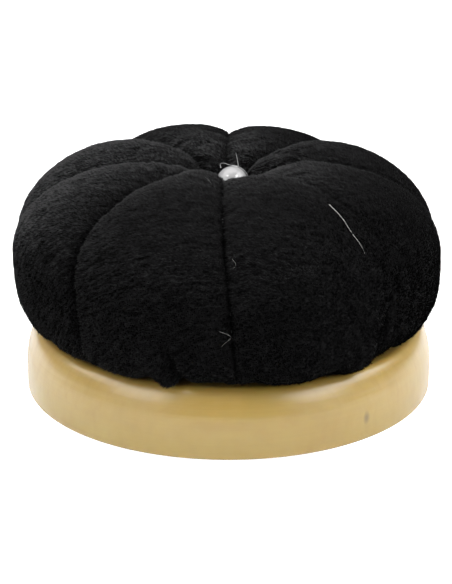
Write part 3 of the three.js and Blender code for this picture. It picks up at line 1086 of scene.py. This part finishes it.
STRAYS = (
    # (azimuth, turn) at the start, middle and end, then the radius
    ((-52.3, 56.5), (-52.2, 47), (-51.8, 38), 0.033),
    ((-51.8, 37.5), (-51.9, 32), (-51.6, 26), 0.02),
    ((-88, 33), (-87.4, 30), (-88, 28), 0.01),
    ((-91.5, -6.5), (-89.5, -10.5), (-91, -15.5), 0.01),
    ((-103, 89.2), (-101.2, 88.2), (-99, 86.8), 0.008),
)


def stray_fibres(surface, material):
    parts = []
    for start, middle, end, radius in STRAYS:
        ends = [surface_point(surface, *start, 0.5), surface_point(surface, *end, 0.45)]
        path = curve_through([ends[0], surface_point(surface, *middle, 0.75), ends[1]], 40)
        parts.append(strand_parts(path, radius, 6, taper=0.6))
    mesh_object("stray_fibres", *joined(parts), "white_fibre", material)


# ---- Materials ----


def wood_finish():
    finish = Finish(
        "varnished_wood",
        Coat_Weight=1,
        Coat_Roughness=0.27,
        Specular_IOR_Level=0.25,
        Subsurface_Weight=0.5,
        Subsurface_Scale=0.003,
        Subsurface_Radius=(1, 0.55, 0.2),
    )
    mottle = finish.noise(70, 4, finish.stretched((1, 1, 0.7)))
    grain = finish.noise(900, 3, finish.stretched((0.05, 1, 0.35)), 0.4)
    streak = finish.noise(330, 2, finish.stretched((1, 1, 0.08)))
    rings = finish.noise(2600, 3, finish.turned(0.02))
    # Towards the top the wood is painted rosier and lighter: a painted warm reflection.
    painted_warm_reflection = finish.remap(finish.height(), 0.003, 0.012, 0, 1)
    tint = finish.mix(painted_warm_reflection, (0.275, 0.195, 0.039, 1), (0.31, 0.205, 0.058, 1))
    marks = (
        (mottle, 0.35, 0.65, 1, (0.255, 0.17, 0.032, 1)),
        (grain, 0.4, 0.75, 0.4, (0.22, 0.13, 0.02, 1)),
        (streak, 0.5, 0.8, 0.4, (0.24, 0.155, 0.02, 1)),
        (rings, 0.3, 0.8, 0.3, (0.22, 0.145, 0.03, 1)),
    )
    for mark, low, high, most, dark in marks:
        tint = finish.mix(finish.remap(mark, low, high, 0, most), tint, dark)
    finish.colour(small_knot(finish), tint, (0.13, 0.085, 0.02, 1))
    finish.roughness(mottle, 0.3, 0.7, 0.38, 0.5)
    finish.set("Coat Normal", finish.bump(rings, 1, 0.00002))
    return finish.material


PIN_KNOT_AZIMUTH = -50.6
PIN_KNOT_HEIGHT = 4.4


def small_knot(finish):
    """A small dark pin knot low on the front right of the base, as a mask."""
    azimuth = math.radians(PIN_KNOT_AZIMUTH)
    reach = BASE_RADIUS * MM
    centre = (reach * math.cos(azimuth), reach * math.sin(azimuth), PIN_KNOT_HEIGHT * MM)
    offset = finish.vector_math("SUBTRACT", finish.place, centre)
    distance = finish.vector_math("LENGTH", finish.vector_math("MULTIPLY", offset, (1, 1, 0.6)))
    return finish.remap(distance, 0.0002, 0.0009, 0.95, 0)


def plush_finish():
    finish = Finish("black_plush", Roughness=0.9, Sheen_Weight=0.03, Sheen_Roughness=0.4)
    finish.set("Specular IOR Level", 0.05)
    tone = finish.remap(finish.noise(3200, 2, finish.stretched((0.4, 1, 1))), 0.35, 0.65, 0, 1)
    finish.colour(tone, grey(0.0004), (0.006, 0.006, 0.0062, 1))
    finish.bump(finish.noise(2500, 2), 0.4, 0.0001)
    return finish.material


def pile_finish():
    finish = Finish("black_pile")
    # The tone carries the pile's painted light and shade into its colour, its shine and its
    # roughness.
    tone = finish.attribute("tone")
    finish.set("Specular IOR Level", finish.remap(tone, 0, 1, 0.0, 0.45))
    finish.colour(tone, grey(0.0003), (0.04, 0.04, 0.041, 1))
    finish.roughness(tone, 0, 1, 0.6, 0.42)
    return finish.material


def thread_finish():
    finish = Finish("black_thread", Roughness=0.6, Sheen_Weight=0.2)
    tone = finish.noise(1500, 2)
    finish.colour(tone, grey(0.003), grey(0.016))
    finish.bump(tone, 0.3, 0.00005)
    return finish.material


def fibre_finish():
    finish = Finish("white_fibre", Roughness=0.8, Sheen_Weight=0.5)
    tone = finish.noise(700, 4, finish.stretched((1, 0.2, 1)))
    finish.colour(tone, (0.70, 0.70, 0.67, 1), (0.92, 0.92, 0.90, 1))
    finish.bump(tone, 0.6, 0.0003)
    return finish.material


def glue_finish():
    finish = Finish("hot_glue", Subsurface_Weight=0.3, Subsurface_Scale=0.001)
    tone = finish.noise(200, 3)
    finish.colour(tone, (0.72, 0.64, 0.44, 1), (0.85, 0.79, 0.63, 1))
    finish.roughness(tone, 0.3, 0.7, 0.25, 0.5)
    finish.bump(tone, 0.2, 0.0002)
    return finish.material


def pearl_finish():
    finish = Finish(
        "pearl_coating",
        Coat_Weight=1,
        Coat_Roughness=0.12,
        Specular_IOR_Level=0.1,
        Subsurface_Weight=0.5,
        Subsurface_Scale=0.0025,
        Subsurface_Radius=(1, 1, 1),
    )
    # The bead is painted a little darker where it is seen edge-on: painted shade that follows the
    # view.
    facing = finish.add("ShaderNodeLayerWeight")
    facing.inputs["Blend"].default_value = 0.35
    cloud = finish.noise(420, 3)
    body = finish.mix(facing.outputs["Facing"], grey(0.25), (0.20, 0.20, 0.205, 1))
    finish.colour(finish.remap(cloud, 0.3, 0.8, 0, 0.35), body, (0.50, 0.49, 0.48, 1))
    finish.roughness(cloud, 0.3, 0.7, 0.36, 0.46)
    finish.bump(cloud, 0.05, 0.00005)
    return finish.material


def nylon_finish():
    finish = Finish("clear_nylon", Transmission_Weight=0.55, IOR=1.5)
    tone = finish.noise(600, 2)
    finish.colour(tone, (0.75, 0.76, 0.77, 1), grey(0.9))
    finish.roughness(tone, 0.3, 0.7, 0.12, 0.3)
    return finish.material


def lint_finish():
    finish = Finish("pale_lint", Roughness=0.6, Sheen_Weight=0.4)
    finish.colour(finish.noise(900, 2), (0.45, 0.44, 0.42, 1), (0.85, 0.84, 0.81, 1))
    return finish.material


# ---- Stage ----

VIEW_ELEVATION = 22.92  # from the base's centre up to the camera
VIEW_DISTANCE = 0.360
VIEW_LENS = 110.4
AIM_ABOVE = 2.63  # the camera aims this many degrees above the base's centre
AIM_LEFT = 0.086
FLOOR_SIDE = 3.0  # from the floor's middle to each edge, in metres
LIGHT_DISTANCE = 0.9
LIGHT_AIM = (0, 0, 0.03)
# Each light's azimuth and elevation, its width in metres and its watts.
LIGHTS = {
    "left_softbox": (-140, 24, 0.44, 2.9),
    "right_softbox": (-39, 24, 0.44, 3.7),
    "left_lamp": (-142, 55, 0.17, 2.7),
    "right_lamp": (-38, 55, 0.18, 3.2),
    "top_softbox": (120, 70, 0.9, 5),
    "left_panel": (-178, 42, 0.6, 4.0),
    "right_panel": (-2, 42, 0.6, 5.8),
}


def around(azimuth, elevation, distance):
    a, e = math.radians(azimuth), math.radians(elevation)
    flat = distance * math.cos(e)
    return (flat * math.cos(a), flat * math.sin(a), distance * math.sin(e))


def softbox(name, azimuth, elevation, size, watts):
    light = bpy.data.lights.new(name, "AREA")
    light.size = size
    light.energy = watts
    lamp = placed(name, light)
    lamp.location = around(azimuth, elevation, LIGHT_DISTANCE)
    target = placed(name + "_aim", None)
    target.location = LIGHT_AIM
    aim = lamp.constraints.new("TRACK_TO")
    aim.target = target
    aim.track_axis = "TRACK_NEGATIVE_Z"
    aim.up_axis = "UP_Y"


def stage():
    world = bpy.data.worlds.new("studio")
    world.use_nodes = True
    background = world.node_tree.nodes["Background"]
    background.inputs["Color"].default_value = (1, 1, 1, 1)
    seen = world.node_tree.nodes.new("ShaderNodeLightPath")
    strength = world.node_tree.nodes.new("ShaderNodeMapRange")
    strength.inputs["To Min"].default_value = 0.2
    strength.inputs["To Max"].default_value = 1.0
    world.node_tree.links.new(seen.outputs["Is Camera Ray"], strength.inputs["Value"])
    world.node_tree.links.new(strength.outputs["Result"], background.inputs["Strength"])
    bpy.context.scene.world = world

    finish = Finish("pale_floor", Roughness=0.8)
    finish.set("Base Color", (0.93, 0.93, 0.93, 1))
    finish.set("Emission Color", (1, 1, 1, 1))
    finish.set("Emission Strength", finish.seen_or_not(0.75, 0.12))
    side = FLOOR_SIDE
    mesh = bpy.data.meshes.new("floor")
    corners = [(-side, -side, 0), (side, -side, 0), (side, side, 0), (-side, side, 0)]
    mesh.from_pydata(corners, [], [(0, 1, 2, 3)])
    mesh.materials.append(finish.material)
    floor = placed("floor", mesh)
    floor.location.z = -0.0001
    for name, light in LIGHTS.items():
        softbox(name, *light)


def camera():
    data = bpy.data.cameras.new("camera")
    data.lens = VIEW_LENS
    view = placed("camera", data)
    view.location = around(-90, VIEW_ELEVATION, VIEW_DISTANCE)
    tilt = math.radians(90 - VIEW_ELEVATION + AIM_ABOVE)
    view.rotation_euler = (tilt, 0, math.radians(AIM_LEFT))
    bpy.context.scene.camera = view
    bpy.context.scene.view_settings.view_transform = "Standard"


# ---- The whole cushion ----

cover = cover_surface()
plush_cover(cover, plush_finish())
pile_material = pile_finish()
for lobe_number in range(LOBES):
    pile(cover, lobe_number, pile_material)
thread_material = thread_finish()
lobe_thread(cover, thread_material)
gathering_thread(thread_material)
filling(cover, fibre_finish())
glue_spread(glue_finish())
wooden_base(wood_finish())
pearl_bead(pearl_finish())
nylon_filament(nylon_finish())
stray_fibres(cover, lint_finish())

stage()
camera()
